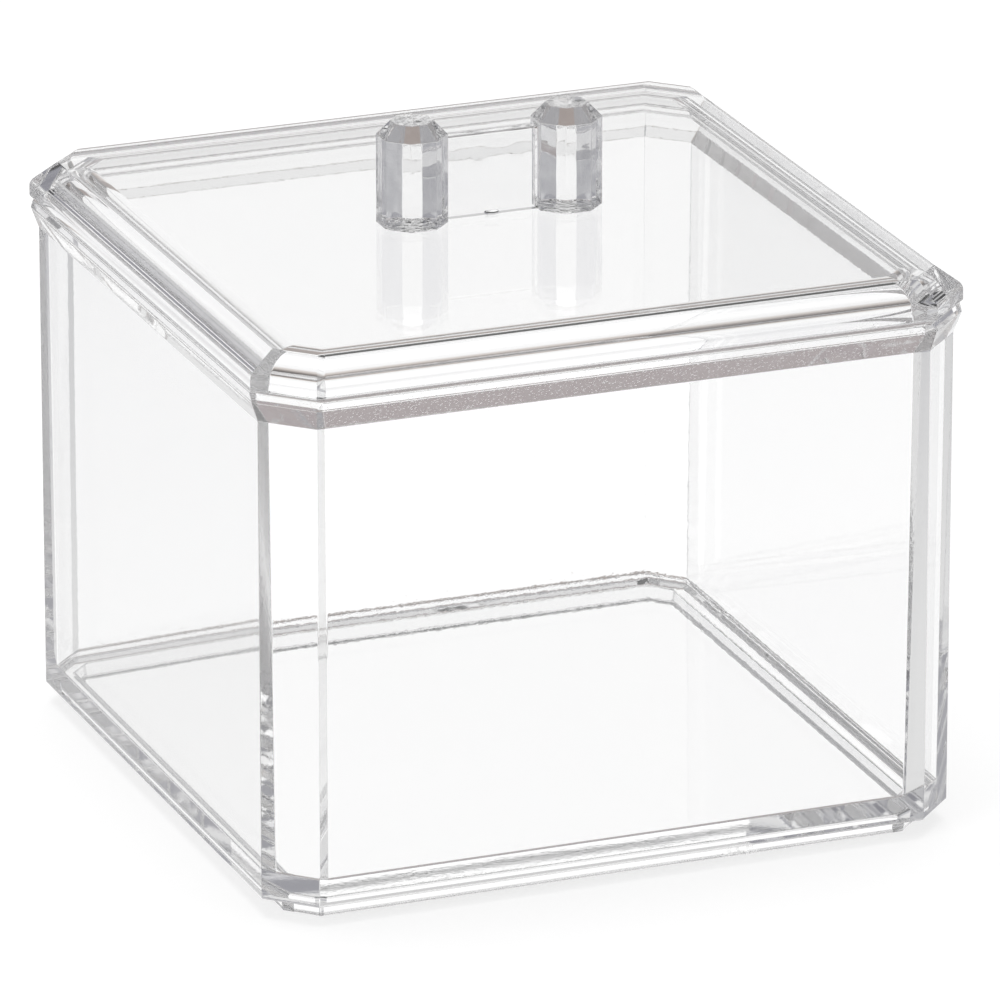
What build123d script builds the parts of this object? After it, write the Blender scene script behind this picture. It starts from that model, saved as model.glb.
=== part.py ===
from build123d import *
import os
from math import atan2, cos, degrees, radians, sqrt

# Clear moulded storage box with a lift-off lid, in millimetres, +Z up.
# Origin: centre of the footprint, on the surface that the foot stands on.
# The plan is a square with its four corners cut off, so every section is an octagon.

# Plan of the box
box_width = 100.0            # across the flat outer walls
corner_leg = 6.05            # how much each cut corner takes off the side
cavity_corner_leg = 4.9      # the same on the inner face of the wall, half way up

# Foot: a ledge ring under the floor
foot_height = 2.7
foot_inset = 3.2             # from the outer wall, where the ring leaves the floor
foot_draft = 0.4             # how much further in it is where it stands
foot_ring_width = 2.4

# Walls and floor of the box
floor_thickness = 2.9
wall_height = 67.75          # from the wall's bottom edge to the start of the flare
wall_at_floor = 3.5
wall_at_mouth = 2.7
floor_fillet = 0.5

# Flared mouth and rim
flare_height = 2.9
rim_reach = 1.0              # how far the rim stands out from the wall
rim_height = 1.35
mouth_drop = 0.25            # how far below the flare the inner face starts to open
mouth_flare_height = 2.9
mouth_reach = 2.4            # how far the inner face moves out as it opens
flare_fillet = 0.5
rim_edge_fillet = 0.3

# Lid
seat_gap = 0.2               # between the rim and the lid's flange
flange_reach = 1.15          # how far the flange stands out from the box wall
flange_height = 2.3
bevel_run = 3.65
bevel_rise = 2.75
lid_wall = 2.3               # thickness of the lid's top
flange_inner_inset = 3.0     # inner face of the flange, from the outer wall of the box
lip_depth = 1.1              # how deep the locating lip reaches into the mouth
lip_clearance = 0.3          # between the lip and the inside of the mouth
shoulder_fillet = 1.45
cove_fillet = 3.6            # inner corner under the bevel
cove_limit_share = 0.95      # most of the lid's inner height that the cove may take
lid_edge_fillet = 0.25

# Handle: two eight-sided posts joined by a thin web
post_spacing = 22.6          # between the axes of the posts
post_radius = 4.92           # to the corners
post_top_radius = 2.96
post_shoulder_height = 12.6
post_cap_height = 2.0        # the sloped crown above the shoulder
post_edge_fillet = 0.25
web_thickness = 1.5
web_height = 11.8
web_edge_fillet = 0.3
gate_radius = 1.1            # half-round stub where the web was filled
gate_reach = 0.8
gate_height = 0.6

# One overrun for every cut that goes through a face
overrun = 1.0

# Levels that follow from the sizes above
floor_underside = foot_height
floor_top = floor_underside + floor_thickness
flare_start = floor_underside + wall_height
flare_end = flare_start + flare_height
rim_top = flare_end + rim_height
mouth_flare_start = flare_start - mouth_drop
mouth_flare_end = mouth_flare_start + mouth_flare_height
seat_level = rim_top + seat_gap
shoulder_level = seat_level + flange_height
lid_top = shoulder_level + bevel_rise
lid_underside = lid_top - lid_wall
mouth_inset = wall_at_mouth - mouth_reach
lip_outer_inset = mouth_inset + lip_clearance
lip_bottom = seat_level - lip_depth
cove_radius = min(cove_fillet, cove_limit_share * (lid_underside - lip_bottom))


def octagon(width, leg, level):
    """Square of the given width with its corners cut off, at a level."""
    square = Rectangle(width, width)
    return Pos(0, 0, level) * chamfer(square.vertices(), leg)


def outer_section(reach, level):
    """Outer outline of the box moved out by reach (in, where it is negative)."""
    leg = corner_leg + reach * (2 - sqrt(2))
    return octagon(box_width + 2 * reach, leg, level)


def cavity_section(inset, level):
    """Outline of the inner face of the wall, at an inset from the outer face."""
    mean_inset = (wall_at_floor + wall_at_mouth) / 2
    leg = cavity_corner_leg - (inset - mean_inset) * (2 - sqrt(2))
    return octagon(box_width - 2 * inset, leg, level)


def leaning(section, height, spread):
    """Prism on a section, with flat sides that lean outwards by spread over its height."""
    prism = extrude(section, height)
    base, *sides, top = prism.faces().sort_by(Axis.Z)
    lean = degrees(atan2(spread, height))
    return draft(sides, Plane(base.center()), -lean)


def edges_at(shape, level):
    """Edges that lie flat at a level."""
    return shape.edges().filter_by_position(Axis.Z, level, level)


def make_foot():
    """Drafted octagonal ring that the box stands on."""
    standing_inset = foot_inset + foot_draft
    outside = outer_section(-standing_inset, 0)
    inside = outer_section(-standing_inset - foot_ring_width, 0)
    return (leaning(outside, foot_height, foot_draft)
            - leaning(inside, foot_height, foot_draft))


def make_outside():
    """The walls, the flare under the rim and the rim, still solid inside."""
    wall = extrude(outer_section(0, floor_underside), wall_height)
    flare = leaning(outer_section(0, flare_start), flare_height, rim_reach)
    shell = wall + flare
    shell = fillet(edges_at(shell, flare_start), flare_fillet)
    rim = extrude(outer_section(rim_reach, flare_end), rim_height)
    rim = fillet(edges_at(rim, rim_top), rim_edge_fillet)
    return shell + rim


def make_cavity():
    """The space inside: drafted walls, then the mouth that opens outwards."""
    room = leaning(cavity_section(wall_at_floor, floor_top),
                   mouth_flare_start - floor_top, wall_at_floor - wall_at_mouth)
    room = fillet(edges_at(room, floor_top), floor_fillet)
    mouth = leaning(cavity_section(wall_at_mouth, mouth_flare_start),
                    mouth_flare_height, mouth_reach)
    top = extrude(cavity_section(mouth_inset, mouth_flare_end),
                  rim_top - mouth_flare_end + overrun)
    return room + mouth + top


def make_box_body():
    return make_outside() + make_foot() - make_cavity()


def make_lid():
    """Flange, rounded shoulder, bevel and flat top, hollow below, with a locating lip."""
    flange = extrude(outer_section(flange_reach, seat_level), flange_height)
    bevel = leaning(outer_section(flange_reach, shoulder_level), bevel_rise, -bevel_run)
    outside = flange + bevel
    outside = fillet(edges_at(outside, shoulder_level), shoulder_fillet)
    outside = fillet(edges_at(outside, lid_top), lid_edge_fillet)
    lip = extrude(cavity_section(lip_outer_inset, lip_bottom), lip_depth)
    hollow = extrude(cavity_section(flange_inner_inset, lip_bottom - overrun),
                     lid_underside - lip_bottom + overrun)
    hollow = fillet(edges_at(hollow, lid_underside), cove_radius)
    return outside + lip - hollow


def make_post(side):
    """Eight-sided post with a sloped crown, standing on the lid."""
    axis = Pos(side * post_spacing / 2, 0, lid_top)
    half_facet = 180 / 8
    base = RegularPolygon(post_radius, 8, rotation=half_facet)
    shaft = extrude(base, post_shoulder_height)
    shoulder = Pos(0, 0, post_shoulder_height) * base
    crown_run = (post_radius - post_top_radius) * cos(radians(half_facet))
    post = shaft + leaning(shoulder, post_cap_height, -crown_run)
    above_foot = post.edges().filter_by(lambda edge: edge.center().Z > 0)
    return axis * fillet(above_foot, post_edge_fillet)


def make_web():
    """Thin plate between the posts, rounded along its top, with the gate stub at its foot."""
    plate = extrude(Rectangle(post_spacing, web_thickness), web_height)
    plate = fillet(edges_at(plate, web_height).filter_by(Axis.X), web_edge_fillet)
    stub_centre = gate_reach - gate_radius - web_thickness / 2
    stub = Pos(0, stub_centre, 0) * extrude(Circle(gate_radius), gate_height)
    return Pos(0, 0, lid_top) * (plate + stub)


def make_lid_handle():
    return make_post(-1) + make_post(1) + make_web()


os.makedirs("parts", exist_ok=True)
export_step(make_box_body(), "parts/box_body.step")
export_step(make_lid(), "parts/lid.step")
export_step(make_lid_handle(), "parts/lid_handle.step")
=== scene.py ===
from math import cos, pi, radians, sin, sqrt
import bpy
import numpy as np
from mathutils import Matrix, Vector


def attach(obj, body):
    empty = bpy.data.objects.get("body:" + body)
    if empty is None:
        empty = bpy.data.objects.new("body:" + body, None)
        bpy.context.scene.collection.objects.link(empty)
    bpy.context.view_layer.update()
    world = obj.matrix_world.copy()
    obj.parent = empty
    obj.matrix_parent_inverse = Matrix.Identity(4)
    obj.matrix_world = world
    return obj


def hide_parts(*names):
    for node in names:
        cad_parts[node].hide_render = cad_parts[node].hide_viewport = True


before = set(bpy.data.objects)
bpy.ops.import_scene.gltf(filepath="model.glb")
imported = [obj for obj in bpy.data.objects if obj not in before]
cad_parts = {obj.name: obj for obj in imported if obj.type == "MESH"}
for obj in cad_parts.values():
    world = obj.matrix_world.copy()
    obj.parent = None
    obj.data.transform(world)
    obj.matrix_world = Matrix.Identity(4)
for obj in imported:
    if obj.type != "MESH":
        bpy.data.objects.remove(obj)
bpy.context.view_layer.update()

mm = 0.001
print("stage: frame loaded,", len(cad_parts), "nodes")


def placed(name, data):
    piece = bpy.data.objects.new(name, data)
    bpy.context.scene.collection.objects.link(piece)
    return piece


def emptyTree(owner):
    owner.use_nodes = True
    owner.node_tree.nodes.clear()
    return owner.node_tree


def roundedProfile(corners, steps=6, lead=0.04):
    # Points (reach, height) of a line of corners, each corner (reach, height, radius) turned into
    # an arc: the circle of that radius whose centre lies on the inner bisector, from one tangent
    # point to the other at equal angles. A lead point stands just before and just after each arc,
    # which keeps the shading of the flats flat. owner is the number of each point's corner.
    c = np.array(corners, float)
    p, r = c[:, :2], c[:, 2]
    inward = p[1:-1] - p[:-2]
    outward = p[2:] - p[1:-1]
    lenIn = np.linalg.norm(inward, axis=1, keepdims=True)
    lenOut = np.linalg.norm(outward, axis=1, keepdims=True)
    d0, d1 = inward / lenIn, outward / lenOut
    turn = np.arctan2(d0[:, 0] * d1[:, 1] - d0[:, 1] * d1[:, 0], (d0 * d1).sum(1))
    side = np.sign(turn)
    normal = np.stack([-d0[:, 1], d0[:, 0]], 1) * side[:, None]
    tangent = r[1:-1] * np.tan(np.abs(turn) / 2)
    start = p[1:-1] - d0 * tangent[:, None]
    centre = start + normal * r[1:-1, None]
    share = np.linspace(0, 1, steps + 1)
    angle = turn[:, None] * share[None]
    arm = (start - centre)[:, None, :]
    turned = np.stack([arm[..., 0] * np.cos(angle) - arm[..., 1] * np.sin(angle),
                       arm[..., 0] * np.sin(angle) + arm[..., 1] * np.cos(angle)], -1)
    arc = centre[:, None, :] + turned
    before = start - d0 * lead
    after = arc[:, -1] + d1 * lead
    rows = np.concatenate([before[:, None], arc, after[:, None]], 1)
    owner = np.repeat(np.arange(1, len(p) - 1), rows.shape[1])
    return rows.reshape(-1, 2), owner


def outlineRing(flat, cut, radius, steps=5, lead=0.04):
    # Outline of an eight-sided prism, for whole arrays of rows: side k faces the angle 45k degrees
    # and lies at distance flat (even k) or cut (odd k). Neighbouring side lines pulled in by the
    # corner radius meet at m; the outline is m + radius * (cos a, sin a), with a running between
    # the two side angles, and a lead point before and after each of these arcs.
    flat, cut, radius = (np.atleast_1d(np.asarray(v, float)) for v in (flat, cut, radius))
    k = np.arange(8)
    theta = k * pi / 4
    h = np.where(k[None] % 2 == 0, flat[:, None], cut[:, None]) - radius[:, None]
    hNext, thetaNext = np.roll(h, -1, 1), theta + pi / 4
    mx = (h * np.sin(thetaNext) - hNext * np.sin(theta)) / sin(pi / 4)
    my = (hNext * np.cos(theta) - h * np.cos(thetaNext)) / sin(pi / 4)
    a = theta[:, None] + np.linspace(0, pi / 4, steps + 1)[None]
    x = mx[..., None] + radius[:, None, None] * np.cos(a)[None]
    y = my[..., None] + radius[:, None, None] * np.sin(a)[None]
    along0 = np.stack([-np.sin(theta), np.cos(theta)], 1) * lead
    along1 = np.stack([-np.sin(thetaNext), np.cos(thetaNext)], 1) * lead
    x = np.concatenate([x[..., :1] - along0[None, :, :1], x, x[..., -1:] + along1[None, :, :1]], 2)
    y = np.concatenate([y[..., :1] - along0[None, :, 1:], y, y[..., -1:] + along1[None, :, 1:]], 2)
    return x.reshape(len(flat), -1), y.reshape(len(flat), -1)


def closedShell(name, x, y, z):
    # Grid of rings (rows) by places round the ring (columns), with a flat face closing the first
    # and the last ring.
    rows, cols = x.shape
    co = np.stack([x, y, np.broadcast_to(z[:, None], x.shape)], -1).reshape(-1, 3) * mm
    i, j = np.meshgrid(np.arange(rows - 1), np.arange(cols), indexing="ij")
    here, beside = i * cols + j, i * cols + (j + 1) % cols
    quads = np.stack([here, beside, beside + cols, here + cols], -1).reshape(-1, 4)
    ends = [np.arange(cols)[::-1].tolist(), ((rows - 1) * cols + np.arange(cols)).tolist()]
    mesh = bpy.data.meshes.new(name)
    mesh.from_pydata(co.tolist(), [], quads.tolist() + ends)
    mesh.polygons.foreach_set("use_smooth", np.ones(len(mesh.polygons), bool))
    mesh.update()
    return placed(name, mesh)


def clearPlastic(name, look):
    # Clear moulded plastic: a glass body whose surface swells slowly (ripple), has a fine grain,
    # has single pits within box-shaped patches, and carries a little handling haze.
    material = bpy.data.materials.new(name)
    tree = emptyTree(material)
    new, link = tree.nodes.new, tree.links.new
    out, body = new("ShaderNodeOutputMaterial"), new("ShaderNodeBsdfPrincipled")
    body.inputs["Base Color"].default_value = (*look["tint"], 1)
    body.inputs["Transmission Weight"].default_value = 1.0
    body.inputs["IOR"].default_value = look["ior"]
    place = new("ShaderNodeTexCoord").outputs["Object"]

    def noise(scale, detail):
        node = new("ShaderNodeTexNoise")
        node.inputs["Scale"].default_value, node.inputs["Detail"].default_value = scale, detail
        link(place, node.inputs["Vector"])
        return node.outputs["Fac"]

    def remap(value, *limits):
        node = new("ShaderNodeMapRange")
        for socket, number in zip(("From Min", "From Max", "To Min", "To Max"), limits):
            node.inputs[socket].default_value = number
        link(value, node.inputs["Value"])
        return node.outputs["Result"]

    def combine(operation, *values):
        node = new("ShaderNodeMath")
        node.operation = operation
        for socket, value in zip(node.inputs, values):
            if isinstance(value, (int, float)):
                socket.default_value = value
            else:
                link(value, socket)
        return node.outputs[0]

    def vector(operation, first, second=None, result="Vector"):
        node = new("ShaderNodeVectorMath")
        node.operation = operation
        link(first, node.inputs[0])
        if second is not None:
            node.inputs[1].default_value = second
        return node.outputs[result]

    swell = combine("MULTIPLY", noise(*look["rippleNoise"]), look["ripple"])
    height = combine("MULTIPLY_ADD", noise(*look["grainNoise"]), look["grain"], swell)
    for middle, half, depth in look["pits"]:
        # A patch holds the points where |x - middle| / half is below 1 on each of the three axes.
        away = vector("DIVIDE", vector("ABSOLUTE", vector("SUBTRACT", place, middle)), half)
        axes = new("ShaderNodeSeparateXYZ")
        link(away, axes.inputs[0])
        far = combine("MAXIMUM", axes.outputs["X"], axes.outputs["Y"])
        far = combine("MAXIMUM", far, axes.outputs["Z"])
        pits = remap(noise(*look["pitNoise"]), *look["pitFrom"], 0, 1)
        pits = combine("MULTIPLY", pits, remap(far, look["pitFade"], 1, 1, 0))
        height = combine("MULTIPLY_ADD", pits, depth, height)
    smooth, haze = look["roughness"], look["haze"]
    rough = remap(noise(*look["hazeNoise"]), *look["hazeFrom"], smooth, smooth + haze)
    # Light that has run far along inside a wall has met its scuffs often enough to scatter.
    bounces = new("ShaderNodeLightPath").outputs["Ray Depth"]
    rough = combine("MAXIMUM", rough, remap(bounces, *look["scatterDepth"], 0, look["scatter"]))
    for spot, reach, depth in look["marks"]:
        # Uneven, half frosted surface within a small reach of a point.
        away = vector("DISTANCE", place, spot, "Value")
        near = remap(away, look["markFade"] * reach, reach, 1, 0)
        patch = combine("MULTIPLY", near, noise(*look["markNoise"]))
        height = combine("MULTIPLY_ADD", patch, depth, height)
        frost = remap(patch, *look["markFrom"], 0, look["markRoughness"])
        rough = combine("MAXIMUM", rough, frost)
    bump = new("ShaderNodeBump")
    bump.inputs["Distance"].default_value = 1.0
    link(height, bump.inputs["Height"])
    link(rough, body.inputs["Roughness"])
    link(bump.outputs["Normal"], body.inputs["Normal"])
    link(body.outputs["BSDF"], out.inputs["Surface"])
    return material


def dress(piece, node, body, material):
    piece.data.materials.append(material)
    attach(piece, body)
    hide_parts(node)


box = {
    "half": 50.0,            # centre to the outer wall
    "cornerLeg": 6.05,       # how much each cut corner takes off the side
    "innerCut": 0.47,        # how much thicker the wall is at the cut corners
    "edgeRadius": 0.2,       # upright outer edges
    "innerRadius": 0.3,      # upright inner edges
    "corners": [             # reach from the outer wall, height, rounding
        (-12.0, 2.7, 0),
        (-5.6, 2.7, 0.5),        # inside of the foot ring
        (-6.0, 0.0, 0.3),
        (-3.6, 0.0, 0.3),        # outside of the foot ring
        (-3.2, 2.7, 0.3),
        (0.0, 2.7, 0.4),         # bottom edge of the wall
        (0.0, 70.45, 0.5),       # flare
        (1.0, 73.35, 0.3),
        (1.0, 74.7, 0.3),        # rim
        (-0.3, 74.7, 0.3),
        (-0.3, 73.15, 0.3),      # mouth
        (-2.7, 70.1, 0.3),
        (-3.5, 5.6, 0.5),        # floor
        (-12.0, 5.6, 0),
    ],
    "inside": [8, 9, 10, 11, 12],    # corners, counted from 0, that take the inner outline
}
# Centre to the face of a cut corner.
cutShare = sqrt(2) * box["half"] - box["cornerLeg"] / sqrt(2)


def octagonPiece(name, corners, inside):
    path, owner = roundedProfile(corners)
    inner = np.isin(owner, inside)
    reach, height = path[:, 0], path[:, 1]
    radius = np.where(inner, box["innerRadius"], box["edgeRadius"])
    cut = cutShare + reach - np.where(inner, box["innerCut"], 0)
    x, y = outlineRing(box["half"] + reach, cut, radius)
    return closedShell(name, x, y, height)


acrylic = {    # lengths in metres, noises as (scale, detail)
    "tint": (0.99, 0.99, 0.99),
    "ior": 1.49,
    "roughness": 0.0,
    "haze": 0.02,                # roughness that the haze adds
    "hazeNoise": (60.0, 4),
    "hazeFrom": (0.5, 0.8),      # noise between which haze sets in
    "ripple": 0.00003,
    "rippleNoise": (40.0, 1),
    "grain": 0.0000015,
    "grainNoise": (1300.0, 2),
    "pits": [                    # middle, half size and depth of each patch
        ((0.0, -0.051, 0.0731), (0.05, 0.004, 0.0028), 0.00002),      # front of the mouth
        ((0.0, 0.0465, 0.0064), (0.046, 0.002, 0.0008), 0.00003),     # foot of the back wall
    ],
    "pitNoise": (3000.0, 1),
    "pitFrom": (0.63, 0.74),     # noise between which a pit opens
    "pitFade": 0.85,             # share of the half size from which pits fade
    "scatterDepth": (12, 20),    # bounces between which scatter sets in
    "scatter": 0.6,
    "marks": [((0.0182, -0.0466, 0.0004), 0.0026, 0.0003)],    # gate vestige under the foot
    "markNoise": (1400.0, 2),
    "markFade": 0.8,             # share of the reach from which a mark fades
    "markFrom": (0.4, 0.6),      # noise between which a mark turns frosted
    "markRoughness": 0.5,
}
boxShell = octagonPiece("clear_box", box["corners"], box["inside"])
dress(boxShell, "box_body", "box", clearPlastic("boxAcrylic", acrylic))
print("stage: box made")


lid = {
    "corners": [
        (-12.0, 77.65, 0),
        (-3.0, 77.65, 3.6),      # coved underside
        (-3.0, 73.8, 0.15),      # locating lip
        (-0.6, 73.8, 0.3),
        (-0.6, 74.9, 0.15),
        (1.15, 74.9, 0.3),       # flange
        (1.15, 77.2, 1.45),      # shoulder
        (-2.5, 79.95, 0.4),      # edge of the flat top
        (-12.0, 79.95, 0),
    ],
    "inside": [1, 2, 3, 4],
}
lidLook = {**acrylic, "marks": []}
lidShell = octagonPiece("clear_lid", lid["corners"], lid["inside"])
dress(lidShell, "lid", "lid", clearPlastic("lidAcrylic", lidLook))
print("stage: lid made")


handle = {
    "spacing": 22.6,         # between the post axes
    "flat": 4.545,           # post axis to a facet
    "endFace": 3.0,          # how far in from a facet the rings of the flat ends stop
    "foot": 79.98,
    "shoulder": 92.55,
    "top": 94.55,
    "crownRun": 1.81,        # how far the sloped crown moves in
    "edge": 0.22,            # rounding of the edges
    "footEdge": 0.05,
    "steps": 4,              # steps of an arc
    "lead": 0.02,            # distance from an arc to the lead points beside it
    "webThickness": 1.5,
    "webTop": 91.75,
    "webEdge": 0.3,
    "gateRadius": 1.1,       # stub at the foot of the web
    "gateReach": 0.8,
    "gateHeight": 0.6,
    "gateFootEdge": (0.1, 0.05),
    "gateTopEdge": 0.15,
    "gateSides": 24,
}
handleLook = {
    **acrylic,
    "ripple": 0.00006,
    "rippleNoise": (260.0, 1),
    "pits": [],
    "marks": [((side * 0.0113, 0.0, 0.0784), 0.0052, 0.0005) for side in (-1, 1)],    # bonded feet
    "markNoise": (500.0, 2),
    "markRoughness": 0.3,
}


def facetedPost(name, side):
    steps, lead, edge = handle["steps"], handle["lead"], handle["edge"]
    corners = [(-handle["endFace"], handle["foot"], 0),
               (0, handle["foot"], handle["footEdge"]),
               (0, handle["shoulder"], edge),
               (-handle["crownRun"], handle["top"], edge),
               (-handle["endFace"], handle["top"], 0)]
    path, owner = roundedProfile(corners, steps, lead)
    flat = handle["flat"] + path[:, 0]
    x, y = outlineRing(flat, flat, np.full(len(flat), edge), steps, lead)
    axis = side * handle["spacing"] / 2
    return closedShell(name, x + axis, y, path[:, 1])


def webPlate(name):
    # Section of the web (width y, height z) with a rounded top, carried along X between the axes
    # of the posts.
    half, r = handle["webThickness"] / 2, handle["webEdge"]
    top, foot = handle["webTop"], handle["foot"]
    a = np.linspace(0, pi / 2, handle["steps"] + 1)
    b = a + pi / 2
    sy = np.concatenate([[half], half - r + r * np.cos(a), -half + r + r * np.cos(b), [-half]])
    sz = np.concatenate([[foot], top - r + r * np.sin(a), top - r + r * np.sin(b), [foot]])
    ends = np.array([-1, 1]) * handle["spacing"] / 2
    n = len(sy)
    co = np.stack([np.repeat(ends, n), np.tile(sy, 2), np.tile(sz, 2)], 1) * mm
    k = np.arange(n)
    k1 = (k + 1) % n
    faces = np.stack([k, k1, k1 + n, k + n], 1).tolist() + [k[::-1].tolist(), (k + n).tolist()]
    mesh = bpy.data.meshes.new(name)
    mesh.from_pydata(co.tolist(), [], faces)
    mesh.update()
    return placed(name, mesh)


def gateStub(name):
    # Upright rod whose rings lie at (reach past the radius, height), half sunk in the web.
    turn = np.arange(handle["gateSides"]) * pi / (handle["gateSides"] / 2)
    footIn, footUp = handle["gateFootEdge"]
    topEdge, height = handle["gateTopEdge"], handle["gateHeight"]
    ring = np.array([(-footIn, 0.0), (0, footUp), (0, height - topEdge), (-topEdge, height)])
    radius = handle["gateRadius"] + ring[:, :1]
    back = handle["webThickness"] / 2 + handle["gateReach"] - handle["gateRadius"]
    x, y = radius * np.cos(turn), radius * np.sin(turn) - back
    return closedShell(name, x, y, handle["foot"] + ring[:, 1])


def joined(name, first, others):
    # One closed skin round all the pieces, so that light meets no hidden wall inside.
    for other in others:
        union = first.modifiers.new("union", "BOOLEAN")
        union.operation, union.solver, union.object = "UNION", "EXACT", other
    graph = bpy.context.evaluated_depsgraph_get()
    mesh = bpy.data.meshes.new_from_object(first.evaluated_get(graph))
    mesh.name = name
    for used in [first, *others]:
        bpy.data.objects.remove(used)
    return placed(name, mesh)


handleShell = joined("clear_handle", facetedPost("postLeft", -1),
                     [facetedPost("postRight", 1), webPlate("web"), gateStub("gate")])
dress(handleShell, "lid_handle", "lid", clearPlastic("handleAcrylic", handleLook))
print("stage: handle made,", len(handleShell.data.polygons), "faces")


studio = {
    "turn": -21.476,         # camera azimuth and elevation in degrees
    "rise": 19.738,
    "distance": 1.4478,
    "aim": (0.001555, 0.0, 0.038035),
    "lens": 377.7,
    "sensor": 36,
    "clip": (0.05, 20),
    "bounces": 40,           # light runs far inside thick clear walls
    "floorSize": 3.0,
    "floorTone": 0.9,
    "backdrop": 0.8,         # share of the floor that shows as plain white
    "lamps": {               # place, side of the square, power
        "overhead": ((0.0, 0.1, 0.9), 0.7, 9),
        "left": ((-0.9, -0.5, 0.6), 0.5, 5),
    },
    "lampAim": (0, 0, 0.04),
    "panels": 4,             # white panels round the object
    "panelTurn": 21.5,       # azimuth of the middle of the first one
    "panelEdge": (-0.5, 0.56),    # its edge, as cos(panels * angle from its middle)
    "panelWhite": 1.16,      # strength that the panel tones are scaled by
    # Tones by elevation in degrees; straight down and straight up stand first. The darker brownish
    # tones from -79 to -41 degrees are painted shadow: the box's shadow on the floor beneath it,
    # which the clear walls see here in place of the hidden floor.
    "panelAndShadow": [
        (-90, 0.82), (90, 1), (-84, 0.776), (-79, (0.37, 0.335, 0.34)), (-60, (0.37, 0.335, 0.34)),
        (-50, 0.24), (-45, (0.32, 0.27, 0.25)), (-41.3, (0.33, 0.28, 0.26)), (-40.2, 0.8), (-38, 0.8),
        (-36.3, (0.05, 0.04, 0.04)), (-34.5, (0.25, 0.22, 0.2)), (-32.5, (0.58, 0.53, 0.5)),
        (-30, 0.88), (-24, 0.98), (-12, 1), (-8, 0.85), (-2, 0.8), (8, 0.72), (18, 0.56), (24, 0.54),
        (31, 0.04), (40, 0.04), (52, 0.9),
    ],
    # As in the panel tones, the darker tones from -79 to -39 degrees are painted shadow: the box's
    # shadow on the floor beneath it.
    "room": [
        (-90, 0.95), (90, 1), (-84, 0.9), (-79, (0.44, 0.4, 0.4)), (-60, (0.44, 0.4, 0.4)),
        (-50, 0.2), (-45, (0.38, 0.38, 0.4)), (-39, (0.38, 0.38, 0.4)), (-36, 0.15), (-31, 0.65),
        (-27, 0.82), (-22, 0.74), (-16, (0.29, 0.29, 0.32)), (-9, (0.49, 0.49, 0.52)), (0, 0.7),
        (8, 0.62), (15, (0.31, 0.31, 0.34)), (26, (0.27, 0.27, 0.3)), (32, 0.05), (40, 0.05),
        (52, 0.9),
    ],
}


def whiteFloor():
    # The camera sees mostly plain white, the rest of the floor takes the lamps and the shadow.
    size, tone = studio["floorSize"], studio["floorTone"]
    mesh = bpy.data.meshes.new("floor")
    corners = [(-size, -size, 0), (size, -size, 0), (size, size, 0), (-size, size, 0)]
    mesh.from_pydata(corners, [], [(0, 1, 2, 3)])
    piece = placed("floor", mesh)
    material = bpy.data.materials.new("paperWhite")
    tree = emptyTree(material)
    new, link = tree.nodes.new, tree.links.new
    out, mix = new("ShaderNodeOutputMaterial"), new("ShaderNodeMixShader")
    paper, glow = new("ShaderNodeBsdfDiffuse"), new("ShaderNodeEmission")
    paper.inputs["Color"].default_value = (tone, tone, tone, 1)
    ray, share = new("ShaderNodeLightPath"), new("ShaderNodeMath")
    share.operation = "MULTIPLY"
    share.inputs[1].default_value = studio["backdrop"]
    link(ray.outputs["Is Camera Ray"], share.inputs[0])
    link(share.outputs[0], mix.inputs["Fac"])
    link(paper.outputs[0], mix.inputs[1])
    link(glow.outputs[0], mix.inputs[2])
    link(mix.outputs[0], out.inputs["Surface"])
    mesh.materials.append(material)
    # The clear walls show the surroundings instead of the floor.
    piece.visible_transmission = piece.visible_glossy = False


def lamp(name, place, size, power):
    light = bpy.data.lights.new(name, "AREA")
    light.shape, light.size, light.size_y = "RECTANGLE", size, size
    light.energy = power
    piece = placed(name, light)
    piece.location = place
    aim = Vector(studio["lampAim"]) - Vector(place)
    piece.rotation_euler = aim.to_track_quat("-Z", "Y").to_euler()
    piece.visible_glossy = piece.visible_transmission = False


def heightRamp(tree, stops):
    # Ramp over (sin(elevation) + 1) / 2, from stops of (elevation in degrees, tone). The ramp's own
    # two stops, at its ends, take the first two of the list.
    node = tree.nodes.new("ShaderNodeValToRGB")
    ramp = node.color_ramp
    ramp.interpolation = "EASE"
    for index, (degrees, tone) in enumerate(stops):
        position = (sin(radians(degrees)) + 1) / 2
        stop = ramp.elements[index] if index < 2 else ramp.elements.new(position)
        stop.color = (*tone, 1) if isinstance(tone, tuple) else (tone, tone, tone, 1)
    return node


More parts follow.
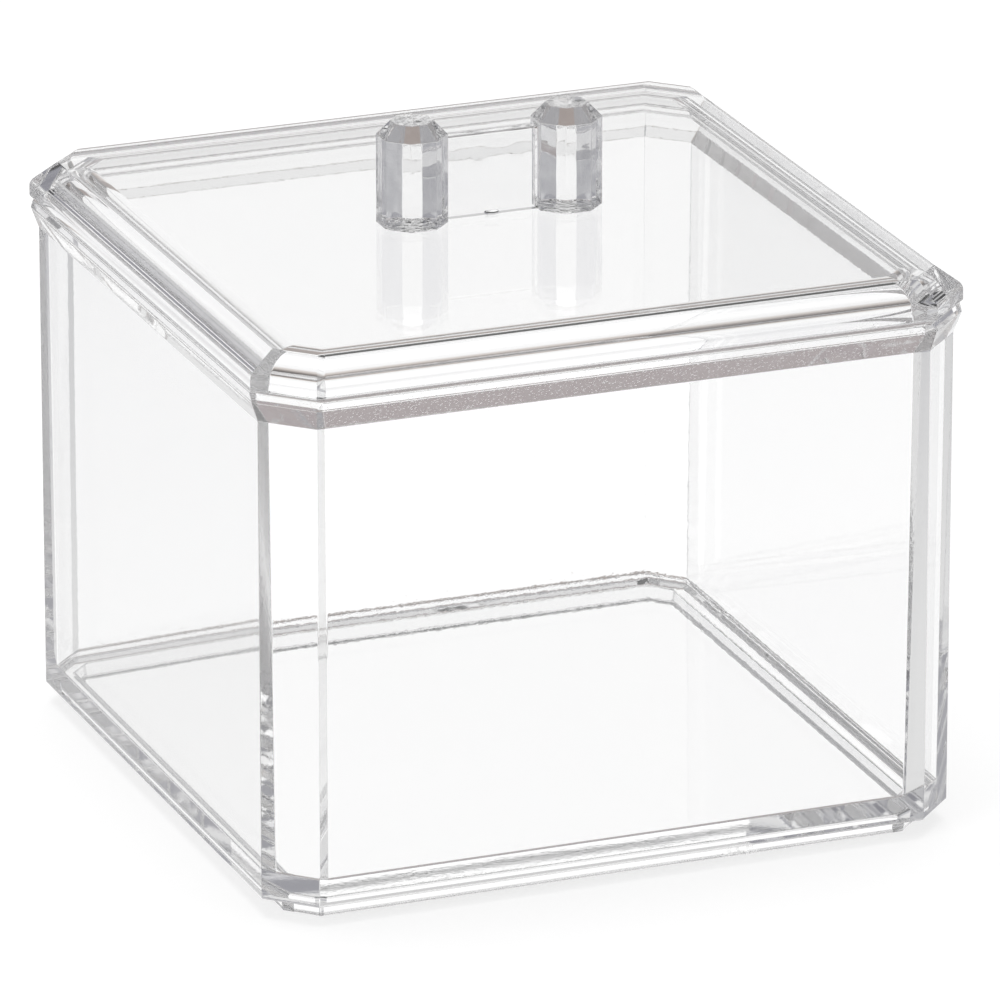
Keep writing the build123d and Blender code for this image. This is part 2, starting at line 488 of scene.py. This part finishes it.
def skyDome():
    # White for the camera. Gloss and clear plastic see white panels round the object, and between and
    # below them the grey room that draws their edges. Steep down, the tones of both are painted
    # shadow: darker brownish greys that stand for the box's shadow on the floor beneath it. A panel's
    # share is (smooth step of cos(panels * (azimuth - panelTurn))) * (glossy ray + transmission ray);
    # the tones of both are ramps over the height.
    world = bpy.data.worlds.new("studio")
    bpy.context.scene.world = world
    tree = emptyTree(world)
    new, link = tree.nodes.new, tree.links.new
    out, back = new("ShaderNodeOutputWorld"), new("ShaderNodeBackground")
    place, split = new("ShaderNodeTexCoord"), new("ShaderNodeSeparateXYZ")
    azimuth, phase, wave, clear, share = (new("ShaderNodeMath") for n in range(5))
    azimuth.operation, phase.operation, wave.operation = "ARCTAN2", "MULTIPLY_ADD", "COSINE"
    clear.operation, share.operation = "ADD", "MULTIPLY"
    phase.inputs[1].default_value = studio["panels"]
    phase.inputs[2].default_value = -studio["panels"] * radians(studio["panelTurn"])
    edge, rise = new("ShaderNodeMapRange"), new("ShaderNodeMapRange")
    edge.interpolation_type = "SMOOTHSTEP"
    for socket, number in zip(("From Min", "From Max"), studio["panelEdge"]):
        edge.inputs[socket].default_value = number
    rise.inputs["From Min"].default_value = -1
    panelAndShadow, room = heightRamp(tree, studio["panelAndShadow"]), heightRamp(tree, studio["room"])
    bright = new("ShaderNodeVectorMath")
    bright.operation = "SCALE"
    bright.inputs["Scale"].default_value = studio["panelWhite"]
    ray, lit, sky = new("ShaderNodeLightPath"), new("ShaderNodeMixRGB"), new("ShaderNodeMixRGB")
    sky.inputs[2].default_value = (1, 1, 1, 1)
    link(place.outputs["Generated"], split.inputs[0])
    link(split.outputs["X"], azimuth.inputs[0])
    link(split.outputs["Y"], azimuth.inputs[1])
    link(azimuth.outputs[0], phase.inputs[0])
    link(phase.outputs[0], wave.inputs[0])
    link(wave.outputs[0], edge.inputs["Value"])
    link(split.outputs["Z"], rise.inputs["Value"])
    link(rise.outputs["Result"], panelAndShadow.inputs[0])
    link(rise.outputs["Result"], room.inputs[0])
    link(ray.outputs["Is Glossy Ray"], clear.inputs[0])
    link(ray.outputs["Is Transmission Ray"], clear.inputs[1])
    link(edge.outputs["Result"], share.inputs[0])
    link(clear.outputs[0], share.inputs[1])
    link(share.outputs[0], lit.inputs[0])
    link(room.outputs[0], lit.inputs[1])
    link(panelAndShadow.outputs[0], bright.inputs[0])
    link(bright.outputs["Vector"], lit.inputs[2])
    link(ray.outputs["Is Camera Ray"], sky.inputs[0])
    link(lit.outputs[0], sky.inputs[1])
    link(sky.outputs[0], back.inputs["Color"])
    link(back.outputs[0], out.inputs["Surface"])


def photoCamera():
    turn, rise = radians(studio["turn"]), radians(studio["rise"])
    away = Vector((sin(turn) * cos(rise), -cos(turn) * cos(rise), sin(rise)))
    camera = placed("camera", bpy.data.cameras.new("camera"))
    camera.data.lens, camera.data.sensor_width = studio["lens"], studio["sensor"]
    camera.data.clip_start, camera.data.clip_end = studio["clip"]
    camera.location = Vector(studio["aim"]) + away * studio["distance"]
    camera.rotation_euler = (-away).to_track_quat("-Z", "Y").to_euler()
    bpy.context.scene.camera = camera


whiteFloor()
skyDome()
for name, (place, size, power) in studio["lamps"].items():
    lamp(name, place, size, power)
photoCamera()
bpy.context.scene.view_settings.view_transform = "Standard"
light = bpy.context.scene.cycles
light.max_bounces = light.transmission_bounces = light.glossy_bounces = studio["bounces"]
print("stage: studio made")
